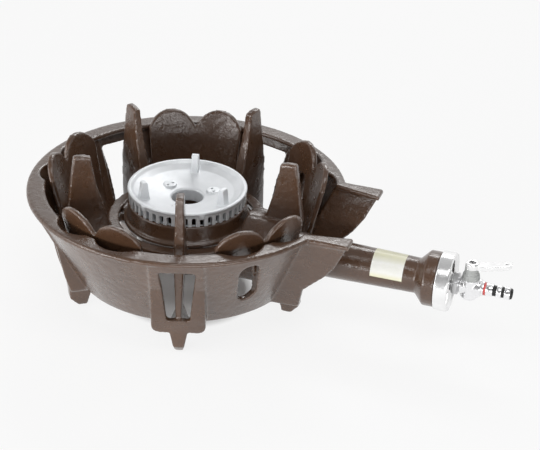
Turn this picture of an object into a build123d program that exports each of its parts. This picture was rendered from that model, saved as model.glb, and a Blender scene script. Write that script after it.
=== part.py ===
from build123d import *
from math import cos, radians, sin
import os

os.makedirs("parts", exist_ok=True)

# The row's frame: floor at z = 0, mixing tube along -Y, mirror plane YZ.
# "angle" is counted anticlockwise, seen from above, from the tube's direction.
BURNER_Y = 82.5            # the burner's vertical axis stands at (0, BURNER_Y)

# Bowl: a conical skirt under a flat rim
RIM_R = 150.0              # outer radius of the rim, the driving size
RIM_INNER_R = 132.5
RIM_Z = 116.5              # top face of the rim
RIM_THICK = 4.0
RIM_EDGE = 1.6             # rounding of the rim's outer edge
RIM_POCKET_R = 24.0        # hollows in the rim's inner edge, one behind each scallop
RIM_POCKET_AT = 117.5
SKIRT_TOP_R = 146.5
SKIRT_FOOT_R = 105.0
SKIRT_FOOT_Z = 29.0
SKIRT_WALL = 6.5           # measured level
RIM_UNDER_Z = RIM_Z - RIM_THICK
SKIRT_SLOPE = (SKIRT_TOP_R - SKIRT_FOOT_R) / (RIM_UNDER_Z - SKIRT_FOOT_Z)

# Claws, feet and the framed windows in line with them
CLAW_COUNT = 5
CLAW_STEP = 360.0 / CLAW_COUNT
POT_Z = 157.0              # the plane a pot stands on
PANEL_HALF = 24.5          # half the width of a window panel
PANEL_CHEEK = 6.5          # thickness of its side cheeks, back to the skirt
PANEL_FOOT_Z = 25.0
PANEL_FACE = (             # outer face of a panel, as radius and height, from the rim down
    (SKIRT_TOP_R, RIM_UNDER_Z),
    (129.5, 78.0),
    (122.5, 44.0),
    (118.0, 29.0),
    (117.0, PANEL_FOOT_Z),
)
WINDOW_Z = (40.0, 102.0)
WINDOW_HALF = (10.5, 16.5) # half widths at the bottom and the top of a window

CLAW_TOP_HALF = 3.4        # half thickness of a claw at the pot plane
CLAW_BASE_HALF = 4.8
WINDOW_BAR_HALF = 2.3
FOOT_TOP_HALF = 8.0
FOOT_TIP_HALF = 3.5
FOOT_TIP_R = (99.0, 107.5) # inner and outer edge of a foot's flat tip
FOOT_HEEL = (115.5, 8.5)   # radius and height where the chamfer below a foot's outer edge ends
ARCH_L = (61.5, 107.0)     # arch that carries the claw over the tube
ARCH_CLAW_L = 70.0         # inner edge of that claw
ARCH_R = (25.0, 32.0)
ARCH_FOOT_Z = 45.0
FRONT_PLATE_TOP_Z = 56.0

# Inner wall of scalloped wind guards
GUARD_WALL = 5.0
GUARD_TOP_R = 133.0        # outer radius at the scallops' tops
GUARD_TOP_Z = 133.0
GUARD_FOOT_R = 120.3
GUARD_FOOT_Z = 69.5
GUARD_HALF_ANGLE = 21.5
GUARD_SHOULDER_Z = 116.5
SCALLOP_R = 24.0
SCALLOP_ANGLE = 11.0       # each side of a guard's middle

# Lighting holes through the skirt and the guard, one each side of the tube
LIGHT_HOLE_ANGLE = 43.5
LIGHT_HOLE_WIDE = 19.0
LIGHT_HOLE_Z = (54.0, 104.0)
LIGHT_HOLE_LEAN = 11.0     # degrees, its top away from the tube

# Spout: two walls beside the mixing tube
SPOUT_TIP = 175.0          # from the burner's axis
SPOUT_HALF = 33.2          # outer half width at the floor, in line with the burner's axis
SPOUT_LEAN = 0.29          # outwards for each mm up
SPOUT_CLOSE = 0.05         # inwards for each mm along the tube
SPOUT_WALL = 6.5           # measured across the tube
SPOUT_EDGE = (             # free edge of a spout wall, as L and height, from the rim down
    (172.8, RIM_UNDER_Z),
    (161.5, 88.0),
    (152.5, 75.0),
    (129.5, 51.5),
    (124.5, SKIRT_FOOT_Z),
)
RIM_SPOUT_OUT = 59.5
RIM_SPOUT_IN = (53.0, 41.2)  # half the rim's gap: at the bowl and at the spout's tip
RIM_SPOUT_IN_L = 118.0

# Seat ring that carries the burner
SEAT_R = (65.0, 75.0)
SEAT_Z = (75.5, 82.5)
SEAT_LUG_Z = (73.5, 79.5)
SEAT_LUG_WIDE = 14.0
SEAT_LUG_ANGLES = (60.0, 180.0, 300.0)
BOLT_CIRCLE_R = 54.0

# Burner
BURNER_R = 56.5
FLANGE_R = 60.0
BODY_TOP_Z = 99.5
FLANGE_Z = (79.5, 84.5)
CHAMBER_R = 48.0
CHAMBER_FOOT_Z = 43.0
CHAMBER_FLOOR = 4.5
CHAMBER_WALL = 5.0
CHAMBER_CHAMFER = 3.0       # ends below the mixing tube's underside
CHAMBER_MOUTH_R = 13.5      # where the mixing tube opens into the chamber
SLEEVE_R = (19.0, 22.5)
BODY_BORE_R = 52.5
SLEEVE_TOP_Z = 96.0
BOLT_R = 3.0
BOLT_BITE = 4.0
BOLT_HEAD_FLAT = 10.0
BOLT_HEAD_HIGH = 4.0
CAP_TOP_Z = 114.0
CAP_EDGE_R = 56.5
CAP_SLEEVE_R = 18.6
CAP_SLEEVE_FOOT_Z = 90.0
SPIGOT_R = 52.1
FLAME_SLOT_HIGH = 8.8
CAP_LUG_ANGLES = (-18.5, 101.5, 221.5)
CAP_LUG_R = 43.0
CAP_LUG_TOP_Z = 125.5
CAP_LUG_HALF = 3.4
CAP_BOSS_ANGLES = (37.0, 153.0, 273.0)
CAP_BOSS_R = 25.0
CAP_HOLE_SPREAD = 7.0
CAP_TAB_ANGLE = 5.5
CAP_DISH_Z = 103.0          # the dish's floor round the middle hole
CAP_DISH_R = 44.0
CAP_DISH_EDGE_Z = 108.5     # height that the floor has risen to at that radius
CAP_WALL = 3.0
CAP_HOLE_R = 15.0
FLAME_SLOTS = 45
FLAME_SLOT_WIDE = 3.8

# Mixing tube; L is counted from the burner's axis along the tube
TUBE_Z = 67.0
TUBE_NEAR_R = 21.0
TUBE_FAR_R = 16.3
TUBE_NECK_L = 228.0
TUBE_RIM_L = (236.0, 247.0)
TUBE_RIM_R = 25.5
AIR_PORTS = 2
AIR_PORT_SPAN = 82.0       # degrees
AIR_PORT_R = (10.0, 21.5)

# Air damper, cock and hose end
DAMPER_R = 27.5
DAMPER_L = (247.4, 260.0)
STEM_R = 6.5
COCK_L = 276.0
NIPPLE_L = (287.0, 315.0)
NIPPLE_R = 6.0
FIT_GAP = 0.05             # radial clearance of a turning fit
DAMPER_HUB_R = 9.0
AIR_PORT_ANGLE = 210.0     # middle of one opening, seen from the hose end
TUBE_END_WALL = 4.0
THROAT_R = 11.5            # narrowest bore of the mixing tube
STEM_L = (240.0, 267.0)
BARREL_R = 8.2
HOUSING_R = 8.5
HOUSING_Z = (-12.5, 8.5)   # heights in the cock are from the tube's axis
GAS_R = 3.0
PLUG_Z = (-7.5, 7.5)
PLUG_R = (5.6, 6.4)        # at the plug's foot and top
PLUG_STEM_R = 3.5
SPRING_R = 5.0
BONNET_Z = (8.5, 19.0)
BONNET_STEP_Z = 13.5
RING_HIGH = 2.4
HUB_Z = (19.0, 25.0)
LEVER_TIP_L = 311.5
LEVER_TIP_Z = 31.0
LEVER_HALF = 5.0
SCREW_R = 1.5
SCREW_HEAD_R = 2.9
SCREW_BITE = 6.0
INJECTOR_R = 3.9
INJECTOR_BITE = 5.0
NIPPLE_ROOT_R = 5.0
NIPPLE_BITE = 3.0
MARK_R = (5.4, 6.0)        # flush with the ribs
NUT_L = (260.6, 265.6)
NUT_FLAT = 20.0
LABEL_L = (186.0, 216.0)
LABEL_THICK = 0.3
LABEL_ARC = 176.0

TUBE_AXIS = Axis((0, BURNER_Y, TUBE_Z), (0, -1, 0))
BURNER_AXIS = Axis((0, BURNER_Y, 0), (0, 0, 1))
COCK_AXIS = Axis((0, BURNER_Y - COCK_L, TUBE_Z), (0, 0, 1))


def direction(angle):
    polar = radians(angle - 90)
    return cos(polar), sin(polar)


def radial_plane(angle):
    """Local x runs out from the burner's axis, local y is the height."""
    c, s = direction(angle)
    return Plane(origin=(0, BURNER_Y, 0), x_dir=(c, s, 0), z_dir=(s, -c, 0))


def facing_plane(angle, radius=0.0):
    """Stands across the radius: local x is tangential, local y is the height."""
    c, s = direction(angle)
    return Plane(origin=(radius * c, BURNER_Y + radius * s, 0), x_dir=(-s, c, 0), z_dir=(c, s, 0))


def level(height):
    """Horizontal plane whose origin is on the burner's axis."""
    return Plane(origin=(0, BURNER_Y, height), x_dir=(1, 0, 0), z_dir=(0, 0, 1))


def across_tube(distance):
    """Stands across the tube: local x is +X, local y is up from the tube's axis."""
    return Plane(origin=(0, BURNER_Y - distance, TUBE_Z), x_dir=(1, 0, 0), z_dir=(0, -1, 0))


def along_tube():
    """Local x is L, local y is up from the tube's axis."""
    return Plane(origin=(0, BURNER_Y, TUBE_Z), x_dir=(0, -1, 0), z_dir=(-1, 0, 0))


def cock_profile():
    """Local x is the radius from the cock's upright axis, local y is up from the tube's axis."""
    return Plane(origin=(0, BURNER_Y - COCK_L, TUBE_Z), x_dir=(1, 0, 0), z_dir=(0, -1, 0))


def outline(points):
    """A closed polygon, added to the sketch being made."""
    return Polygon(*points, align=None)


def skirt_r(height, inset=0.0):
    """Radius of the skirt's outer cone at a height."""
    return SKIRT_FOOT_R + SKIRT_SLOPE * (height - SKIRT_FOOT_Z) - inset


def save(part, label):
    part.part.label = label
    export_step(part.part, "parts/" + label + ".step")


# ---------------------------------------------------------------- casting

def make_rim():
    """Flat rim, opened at the tube, with a straight flange along each spout wall."""
    bowl, tip = RIM_SPOUT_IN
    gap = [
        (-bowl, 0),
        (-bowl, -RIM_SPOUT_IN_L),
        (-tip, -SPOUT_TIP - 1),
        (tip, -SPOUT_TIP - 1),
        (bowl, -RIM_SPOUT_IN_L),
        (bowl, 0),
    ]
    with BuildPart() as rim:
        with BuildSketch(level(RIM_UNDER_Z)):
            Circle(RIM_R)
            with Locations((0, -SPOUT_TIP / 2)):
                Rectangle(2 * RIM_SPOUT_OUT, SPOUT_TIP)
            Circle(RIM_INNER_R, mode=Mode.SUBTRACT)
            Polygon(*gap, align=None, mode=Mode.SUBTRACT)
            for index in range(CLAW_COUNT):
                for side in (-1, 1):
                    c, s = direction((index + 0.5) * CLAW_STEP + side * SCALLOP_ANGLE)
                    with Locations((RIM_POCKET_AT * c, RIM_POCKET_AT * s)):
                        Circle(RIM_POCKET_R, mode=Mode.SUBTRACT)
        extrude(amount=RIM_THICK)
        top_edges = rim.faces().sort_by(Axis.Z)[-1].edges()
        fillet(top_edges, RIM_EDGE)
    save(rim, "rim")


def make_cone_shell():
    """The skirt all round, before it is divided."""
    with BuildPart() as shell:
        with BuildSketch(radial_plane(0)):
            outline([
                (SKIRT_FOOT_R, SKIRT_FOOT_Z),
                (SKIRT_TOP_R, RIM_UNDER_Z),
                (SKIRT_TOP_R - SKIRT_WALL, RIM_UNDER_Z),
                (SKIRT_FOOT_R - SKIRT_WALL, SKIRT_FOOT_Z),
            ])
        revolve(axis=BURNER_AXIS)
    return shell.part


def light_hole(angle):
    """Round-ended hole, cut straight out through both walls."""
    low, high = LIGHT_HOLE_Z
    side = 1 if angle > 0 else -1
    with BuildSketch(facing_plane(angle, SKIRT_FOOT_R)) as hole:
        with Locations((0, (low + high) / 2)):
            SlotOverall(high - low, LIGHT_HOLE_WIDE, rotation=90 - side * LIGHT_HOLE_LEAN)
    extrude(hole.sketch, amount=RIM_R - SKIRT_FOOT_R, mode=Mode.SUBTRACT)


def wedge(start, stop):
    """Upright wedge of the space round the burner's axis, between two angles."""
    reach = 2 * RIM_R
    middle = (start + stop) / 2
    corners = [(0, 0)]
    for angle in (start, middle, stop):
        c, s = direction(angle)
        corners.append((reach * c, reach * s))
    with BuildSketch(level(0)) as sector:
        outline(corners)
    extrude(sector.sketch, amount=POT_Z, mode=Mode.INTERSECT)


def make_skirt_sectors():
    """Five curved walls, each between two window panels or a panel and the spout."""
    shell = make_cone_shell()
    names = ("skirt_right_front", "skirt_right_rear", "skirt_rear", "skirt_left_rear", "skirt_left_front")
    for index, name in enumerate(names):
        start = index * CLAW_STEP
        stop = start + CLAW_STEP
        with BuildPart() as sector:
            add(shell)
            wedge(start, stop)
            for claw_angle in (start, stop):
                if claw_angle % 360 == 0:
                    continue
                with BuildSketch(facing_plane(claw_angle)):
                    with Locations((0, RIM_Z / 2)):
                        Rectangle(2 * PANEL_HALF, 2 * RIM_Z)
                extrude(amount=2 * RIM_R, mode=Mode.SUBTRACT)
            if index in (0, 4):
                side = 1 if index == 0 else -1
                split(bisect_by=spout_plane(side, SPOUT_WALL), keep=Keep.TOP)
                light_hole(side * LIGHT_HOLE_ANGLE)
        save(sector, name)


def spout_plane(side, inset=0.0):
    """Outer face of a spout wall, or a plane that far inside it; it faces away from the tube."""
    return Plane(
        origin=(side * (SPOUT_HALF - inset), BURNER_Y, 0),
        z_dir=(side, -SPOUT_CLOSE, -SPOUT_LEAN),
    )


def make_spout_walls():
    """Leaning wall each side of the tube, that runs down to the level of the skirt's foot."""
    for name, side in (("spout_wall_right", 1), ("spout_wall_left", -1)):
        with BuildPart() as wall:
            with BuildSketch(along_tube()):
                outline([(0, RIM_UNDER_Z - TUBE_Z)]
                        + [(distance, height - TUBE_Z) for distance, height in SPOUT_EDGE]
                        + [(0, SKIRT_FOOT_Z - TUBE_Z)])
            extrude(amount=-side * RIM_R)
            split(bisect_by=spout_plane(side), keep=Keep.BOTTOM)
            split(bisect_by=spout_plane(side, SPOUT_WALL), keep=Keep.TOP)
            with BuildSketch(radial_plane(0)):
                outline([
                    (0, SKIRT_FOOT_Z),
                    (SKIRT_FOOT_R, SKIRT_FOOT_Z),
                    (SKIRT_TOP_R, RIM_UNDER_Z),
                    (0, RIM_UNDER_Z),
                ])
            revolve(axis=BURNER_AXIS, mode=Mode.SUBTRACT)
        save(wall, name)


def panel_section():
    """Side outline of a window panel's plate: outer face, then inner face."""
    outer = list(PANEL_FACE)
    inner = [(radius - SKIRT_WALL, height) for radius, height in reversed(PANEL_FACE)]
    return outer + inner


def cheek_section():
    """Side outline of a panel's cheek: from the plate's face in to the skirt's inner face."""
    sag = PANEL_HALF**2 / (2 * SKIRT_FOOT_R)
    return list(PANEL_FACE) + [
        (SKIRT_FOOT_R - SKIRT_WALL - sag, PANEL_FOOT_Z),
        (SKIRT_FOOT_R - SKIRT_WALL - sag, SKIRT_FOOT_Z),
        (SKIRT_TOP_R - SKIRT_WALL - sag, RIM_UNDER_Z),
    ]


def panel_inner_r(height):
    """Distance of a window panel's inner face from the burner's axis."""
    for (r_high, z_high), (r_low, z_low) in zip(PANEL_FACE, PANEL_FACE[1:]):
        if z_low <= height <= z_high:
            share = (height - z_low) / (z_high - z_low)
            return r_low + (r_high - r_low) * share - SKIRT_WALL
    raise ValueError(height)


def make_window_panels():
    """Flat raised plate with a tapering window, at every claw but the one over the tube."""
    low, high = WINDOW_Z
    half_low, half_high = WINDOW_HALF
    corner_r = 7.0
    for index in range(1, CLAW_COUNT):
        angle = index * CLAW_STEP
        with BuildPart() as panel:
            with BuildSketch(radial_plane(angle)):
                outline(cheek_section())
            extrude(amount=PANEL_HALF, both=True)
            with BuildSketch(facing_plane(angle)):
                with Locations((0, RIM_Z / 2)):
                    Rectangle(2 * (PANEL_HALF - PANEL_CHEEK), 2 * RIM_Z)
            extrude(amount=2 * RIM_R, mode=Mode.SUBTRACT)
            with BuildSketch(radial_plane(angle)):
                outline(panel_section())
            extrude(amount=PANEL_HALF, both=True)
            with BuildSketch(facing_plane(angle)):
                with Locations((0, PANEL_FOOT_Z + RIM_Z / 2)):
                    RectangleRounded(2 * PANEL_HALF, RIM_Z, corner_r)
            extrude(amount=2 * RIM_R, mode=Mode.INTERSECT)
            with BuildSketch(facing_plane(angle, SKIRT_FOOT_R)) as window:
                outline([(-half_low, low), (half_low, low), (half_high, high), (-half_high, high)])
                fillet(window.vertices(), 3)
            extrude(amount=RIM_R, mode=Mode.SUBTRACT)
        save(panel, "window_panel_%d" % index)


def make_wind_guards():
    """Inner wall with two round scallops, midway between each pair of claws."""
    lean = (GUARD_TOP_R - GUARD_FOOT_R) / (GUARD_TOP_Z - GUARD_FOOT_Z)
    inner_foot_z = GUARD_FOOT_Z - GUARD_WALL / (SKIRT_SLOPE - lean)
    inner_foot_r = skirt_r(inner_foot_z, SKIRT_WALL)
    for index in range(CLAW_COUNT):
        middle = (index + 0.5) * CLAW_STEP
        with BuildPart() as keep:
            with BuildSketch(level(0)):
                Circle(RIM_R)
            extrude(amount=GUARD_SHOULDER_Z)
            for side in (-1, 1):
                with BuildSketch(facing_plane(middle + side * SCALLOP_ANGLE)):
                    with Locations((0, GUARD_TOP_Z - SCALLOP_R)):
                        Circle(SCALLOP_R)
                extrude(amount=RIM_R)
        with BuildPart() as guard:
            with BuildSketch(radial_plane(middle - GUARD_HALF_ANGLE)):
                outline([
                    (skirt_r(GUARD_FOOT_Z, SKIRT_WALL), GUARD_FOOT_Z),
                    (GUARD_TOP_R, GUARD_TOP_Z),
                    (GUARD_TOP_R - GUARD_WALL, GUARD_TOP_Z),
                    (inner_foot_r, inner_foot_z),
                ])
            revolve(axis=BURNER_AXIS, revolution_arc=2 * GUARD_HALF_ANGLE)
            add(keep.part, mode=Mode.INTERSECT)
            if index == 0:
                light_hole(LIGHT_HOLE_ANGLE)
            if index == CLAW_COUNT - 1:
                light_hole(-LIGHT_HOLE_ANGLE)
        save(guard, "wind_guard_%d" % (index + 1))


# ---------------------------------------------------------------- claws and seat

def taper_outline():
    """Front view of a claw and its foot: half widths at each height, both sides."""
    halves = [
        (FOOT_TIP_HALF, 0),
        (FOOT_TOP_HALF, PANEL_FOOT_Z - 1),
        (FOOT_TOP_HALF, PANEL_FOOT_Z + 2),
        (WINDOW_BAR_HALF, WINDOW_Z[0]),
        (CLAW_BASE_HALF, 98),
        (CLAW_TOP_HALF, POT_Z),
    ]
    right = [(half, height) for half, height in halves]
    left = [(-half, height) for half, height in reversed(halves)]
    return right + left


def claw_top(outer_foot, inner_foot):
    """Side outline of a claw, from its outer foot over the pot plane to its inner foot."""
    return outer_foot + [
        (115, 99),
        (112, 122),
        (109.4, 142),
        (107, POT_Z),
        (99, POT_Z),
        (91.5, POT_Z - 2),
        (91, 148),
        (89, 138),
        (87.5, 127),
        (84.5, 118),
        (79.5, 100),
    ] + inner_foot


def make_claws():
    """Upright radial blade with its foot, at each window panel."""
    outer_foot = [
        (FOOT_TIP_R[0], 0),
        (FOOT_TIP_R[1], 0),
        FOOT_HEEL,
        (117, PANEL_FOOT_Z),
        (panel_inner_r(PANEL_FOOT_Z), PANEL_FOOT_Z),
        (panel_inner_r(29), 29),
        (panel_inner_r(WINDOW_Z[0]), WINDOW_Z[0]),
        (118.5, WINDOW_Z[0]),
        (117.5, 62),
    ]
    inner_foot = [
        (76.5, 90),
        (SEAT_R[1], SEAT_Z[1]),
        (SEAT_R[1], SEAT_Z[0]),
        (80, 64),
        (88, 42),
        (93, 25),
        (97, 9),
    ]
    for index in range(1, CLAW_COUNT):
        angle = index * CLAW_STEP
        with BuildPart() as claw:
            with BuildSketch(radial_plane(angle)):
                outline(claw_top(outer_foot, inner_foot))
            extrude(amount=FOOT_TOP_HALF, both=True)
            with BuildSketch(facing_plane(angle)):
                outline(taper_outline())
            extrude(amount=RIM_R, mode=Mode.INTERSECT)
            with BuildSketch(level(0)):
                Circle(SEAT_R[1])
            extrude(amount=SEAT_Z[1], mode=Mode.SUBTRACT)
        save(claw, "claw_%d" % index)


def make_front_claw():
    """Claw over the mixing tube, on an arch that straddles the tube."""
    start, stop = ARCH_L
    with BuildPart() as claw:
        with BuildSketch(across_tube(start)):
            Circle(ARCH_R[1])
            with Locations((0, (ARCH_FOOT_Z - TUBE_Z) / 2)):
                Rectangle(2 * ARCH_R[1], TUBE_Z - ARCH_FOOT_Z)
            Circle(ARCH_R[0], mode=Mode.SUBTRACT)
            with Locations((0, ARCH_FOOT_Z - TUBE_Z)):
                Rectangle(2 * ARCH_R[0], 2 * (TUBE_Z - ARCH_FOOT_Z), mode=Mode.SUBTRACT)
            with Locations((0, ARCH_FOOT_Z - TUBE_Z - ARCH_R[1] / 2)):
                Rectangle(2 * ARCH_R[1], ARCH_R[1], mode=Mode.SUBTRACT)
        extrude(amount=stop - start)
        inside = TUBE_Z + (ARCH_R[0] + ARCH_R[1]) / 2
        with BuildSketch(radial_plane(0)):
            outline(claw_top([(stop, inside), (115, 97)], [(ARCH_CLAW_L, 96), (ARCH_CLAW_L, inside)]))
        extrude(amount=CLAW_BASE_HALF, both=True, mode=Mode.ADD)
        with BuildSketch(facing_plane(0)):
            outline([
                (ARCH_R[1], 0),
                (ARCH_R[1], 98),
                (CLAW_BASE_HALF, 98),
                (CLAW_TOP_HALF, POT_Z),
                (-CLAW_TOP_HALF, POT_Z),
                (-CLAW_BASE_HALF, 98),
                (-ARCH_R[1], 98),
                (-ARCH_R[1], 0),
            ])
        extrude(amount=RIM_R, mode=Mode.INTERSECT)
    save(claw, "claw_front")


def make_front_foot():
    """Plate under the mixing tube between the spout walls, with the fifth foot."""
    start = ARCH_L[1]
    plate = 7.0
    with BuildPart() as foot:
        with BuildSketch(across_tube(start)):
            with Locations((0, (PANEL_FOOT_Z + FRONT_PLATE_TOP_Z) / 2 - TUBE_Z)):
                Rectangle(2 * RIM_SPOUT_OUT, FRONT_PLATE_TOP_Z - PANEL_FOOT_Z)
            Circle(ARCH_R[0], mode=Mode.SUBTRACT)
        extrude(amount=plate)
        for side in (-1, 1):
            split(bisect_by=spout_plane(side, SPOUT_WALL), keep=Keep.BOTTOM)
        with BuildSketch(radial_plane(0)):
            outline([
                (FOOT_TIP_R[0], 0),
                (FOOT_TIP_R[1], 0),
                FOOT_HEEL,
                (start + plate, PANEL_FOOT_Z),
                (start + plate, 32),
                (start, 36),
                (98, 26),
                (97, 9),
            ])
        extrude(amount=FOOT_TOP_HALF, both=True)
        with BuildSketch(facing_plane(0)):
            outline([
                (FOOT_TIP_HALF, 0),
                (FOOT_TOP_HALF, PANEL_FOOT_Z - 1),
                (RIM_R, PANEL_FOOT_Z),
                (RIM_R, TUBE_Z),
                (-RIM_R, TUBE_Z),
                (-RIM_R, PANEL_FOOT_Z),
                (-FOOT_TOP_HALF, PANEL_FOOT_Z - 1),
                (-FOOT_TIP_HALF, 0),
            ])
        extrude(amount=RIM_R, mode=Mode.INTERSECT)
    save(foot, "foot_front")


def make_seat_ring():
    """Ring between the claws, open for the arch, with three lugs that carry the burner."""
    inner, outer = SEAT_R
    with BuildPart() as seat:
        with BuildSketch(level(SEAT_Z[0])):
            Circle(outer)
            Circle(inner, mode=Mode.SUBTRACT)
        extrude(amount=SEAT_Z[1] - SEAT_Z[0])
        with BuildSketch(level(SEAT_LUG_Z[0])):
            for angle in SEAT_LUG_ANGLES:
                c, s = direction(angle)
                middle = (BOLT_CIRCLE_R + inner) / 2 + 1
                with Locations(Location((middle * c, middle * s), angle - 90)):
                    Rectangle(inner - BOLT_CIRCLE_R + 2, SEAT_LUG_WIDE)
                with Locations((BOLT_CIRCLE_R * c, BOLT_CIRCLE_R * s)):
                    Circle(SEAT_LUG_WIDE / 2)
            Circle(CHAMBER_R + 0.6, mode=Mode.SUBTRACT)
            for angle in SEAT_LUG_ANGLES:
                c, s = direction(angle)
                with Locations((BOLT_CIRCLE_R * c, BOLT_CIRCLE_R * s)):
                    Circle(BOLT_R + 0.3, mode=Mode.SUBTRACT)
        extrude(amount=SEAT_LUG_Z[1] - SEAT_LUG_Z[0])
        with BuildSketch(across_tube(0)):
            Circle(ARCH_R[1])
            with Locations((0, -TUBE_Z / 2)):
                Rectangle(2 * ARCH_R[1], TUBE_Z)
        extrude(amount=RIM_R, mode=Mode.SUBTRACT)
    save(seat, "seat_ring")


# ---------------------------------------------------------------- burner

def tube_r(distance):
    """Outer radius of the tapering mixing tube."""
    share = distance / TUBE_NECK_L
    return TUBE_NEAR_R + (TUBE_FAR_R - TUBE_NEAR_R) * share


def burner_envelope():
    """Outer profile of the burner's round body, closed on its axis, from the foot up."""
    return [
        (0, CHAMBER_FOOT_Z),
        (CHAMBER_R - CHAMBER_CHAMFER, CHAMBER_FOOT_Z),
        (CHAMBER_R, CHAMBER_FOOT_Z + CHAMBER_CHAMFER),
        (CHAMBER_R, FLANGE_Z[0]),
        (FLANGE_R, FLANGE_Z[0]),
        (FLANGE_R, FLANGE_Z[1] - 1),
        (BURNER_R + 0.5, FLANGE_Z[1]),
        (BURNER_R - 0.5, BODY_TOP_Z - 1),
        (BURNER_R - 1.5, BODY_TOP_Z),
        (0, BODY_TOP_Z),
    ]


def mixing_bore():
    """Profile of the mixing tube's bore: chamber end, narrow throat and wide mouth."""
    end = TUBE_RIM_L[1] - TUBE_END_WALL
    return [
        (SLEEVE_R[1] + 8, 0),
        (SLEEVE_R[1] + 8, CHAMBER_MOUTH_R),
        (TUBE_NECK_L - 60, THROAT_R),
        (TUBE_NECK_L - 20, THROAT_R),
        (TUBE_NECK_L, THROAT_R + 1.5),
        (TUBE_RIM_L[0] + 1, AIR_PORT_R[1] + 0.7),
        (end, AIR_PORT_R[1] + 0.7),
        (end, 0),
    ]


def make_burner_body():
    """Ring-shaped gas chamber: floor, outer wall and the flange that rests on the seat."""
    floor = CHAMBER_FOOT_Z + CHAMBER_FLOOR
    with BuildPart() as body:
        with BuildSketch(radial_plane(90)):
            outline(burner_envelope())
        revolve(axis=BURNER_AXIS)
        with BuildSketch(radial_plane(90)):
            outline([
                (0, CHAMBER_FOOT_Z - 1),
                (SLEEVE_R[1], CHAMBER_FOOT_Z - 1),
                (SLEEVE_R[1], floor),
                (CHAMBER_R - CHAMBER_WALL, floor),
                (CHAMBER_R - CHAMBER_WALL, FLANGE_Z[1] - 4),
                (BODY_BORE_R, FLANGE_Z[1] + 2),
                (BODY_BORE_R, BODY_TOP_Z + 1),
                (0, BODY_TOP_Z + 1),
            ])
        revolve(axis=BURNER_AXIS, mode=Mode.SUBTRACT)
        with BuildSketch(along_tube()):
            outline(mixing_bore())
        revolve(axis=TUBE_AXIS, mode=Mode.SUBTRACT)
        with BuildSketch(level(FLANGE_Z[0])):
            for angle in SEAT_LUG_ANGLES:
                c, s = direction(angle)
                with Locations((BOLT_CIRCLE_R * c, BOLT_CIRCLE_R * s)):
                    Circle(BOLT_R)
        extrude(amount=BOLT_BITE, mode=Mode.SUBTRACT)
    save(body, "burner_body")


def make_burner_sleeve():
    """Upright sleeve round the burner's open middle, cast with the chamber's floor."""
    with BuildPart() as sleeve:
        with BuildSketch(level(CHAMBER_FOOT_Z)):
            Circle(SLEEVE_R[1])
            Circle(SLEEVE_R[0], mode=Mode.SUBTRACT)
        extrude(amount=SLEEVE_TOP_Z - CHAMBER_FOOT_Z)
    save(sleeve, "burner_sleeve")


def make_mixing_tube():
    """Tapering tube from the chamber's wall to its neck, and the flared mouth beyond."""
    with BuildPart() as whole:
        with BuildSketch(along_tube()):
            outline([
                (30, 0),
                (30, tube_r(30)),
                (TUBE_NECK_L, TUBE_FAR_R),
                (TUBE_RIM_L[0] - 1, TUBE_RIM_R - 1.5),
                (TUBE_RIM_L[0] + 0.5, TUBE_RIM_R),
                (TUBE_RIM_L[1], TUBE_RIM_R),
                (TUBE_RIM_L[1], 0),
            ])
        revolve(axis=TUBE_AXIS)
        with BuildSketch(radial_plane(90)):
            outline(burner_envelope())
        revolve(axis=BURNER_AXIS, mode=Mode.SUBTRACT)
        with BuildSketch(along_tube()):
            outline(mixing_bore())
        revolve(axis=TUBE_AXIS, mode=Mode.SUBTRACT)
        air_ports(TUBE_RIM_L[1] - TUBE_END_WALL - 1, TUBE_END_WALL + 2)
        with BuildSketch(across_tube(TUBE_RIM_L[1])):
            Circle(STEM_R)
        extrude(amount=-2 * TUBE_END_WALL, mode=Mode.SUBTRACT)
    for name, side in (("mixing_tube", Keep.TOP), ("tube_mouth", Keep.BOTTOM)):
        with BuildPart() as piece:
            add(whole.part)
            split(bisect_by=Plane(origin=(0, BURNER_Y - TUBE_NECK_L, TUBE_Z), z_dir=(0, 1, 0)), keep=side)
        save(piece, name)


def air_ports(distance, depth):
    """Two opposite fan-shaped openings through a wall across the tube."""
    inner, outer = AIR_PORT_R
    with BuildSketch(across_tube(distance)) as ports:
        for index in range(AIR_PORTS):
            middle = AIR_PORT_ANGLE + index * 360 / AIR_PORTS
            fan = fan_outline(middle, AIR_PORT_SPAN, 2 * outer)
            outline(fan)
        Circle(outer, mode=Mode.INTERSECT)
        Circle(inner, mode=Mode.SUBTRACT)
    extrude(ports.sketch, amount=depth, mode=Mode.SUBTRACT)


def fan_outline(middle, span, reach):
    """Triangle from the centre that covers an angle, seen along the plane's normal."""
    ends = (radians(middle - span / 2), radians(middle + span / 2))
    return [(0, 0)] + [(reach * cos(end), reach * sin(end)) for end in ends]


def make_burner_bolts():
    """Three hexagon bolts, from below through the seat's lugs into the burner's flange."""
    head_z = SEAT_LUG_Z[0] - BOLT_HEAD_HIGH
    for index, angle in enumerate(SEAT_LUG_ANGLES):
        c, s = direction(angle)
        spot = (BOLT_CIRCLE_R * c, BOLT_CIRCLE_R * s)
        with BuildPart() as bolt:
            with BuildSketch(level(head_z)):
                with Locations(spot):
                    RegularPolygon(BOLT_HEAD_FLAT / 2, 6, major_radius=False)
            extrude(amount=BOLT_HEAD_HIGH)
            with BuildSketch(level(SEAT_LUG_Z[0])):
                with Locations(spot):
                    Circle(BOLT_R)
            extrude(amount=FLANGE_Z[0] + BOLT_BITE - SEAT_LUG_Z[0])
        save(bolt, "burner_bolt_%d" % (index + 1))


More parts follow.
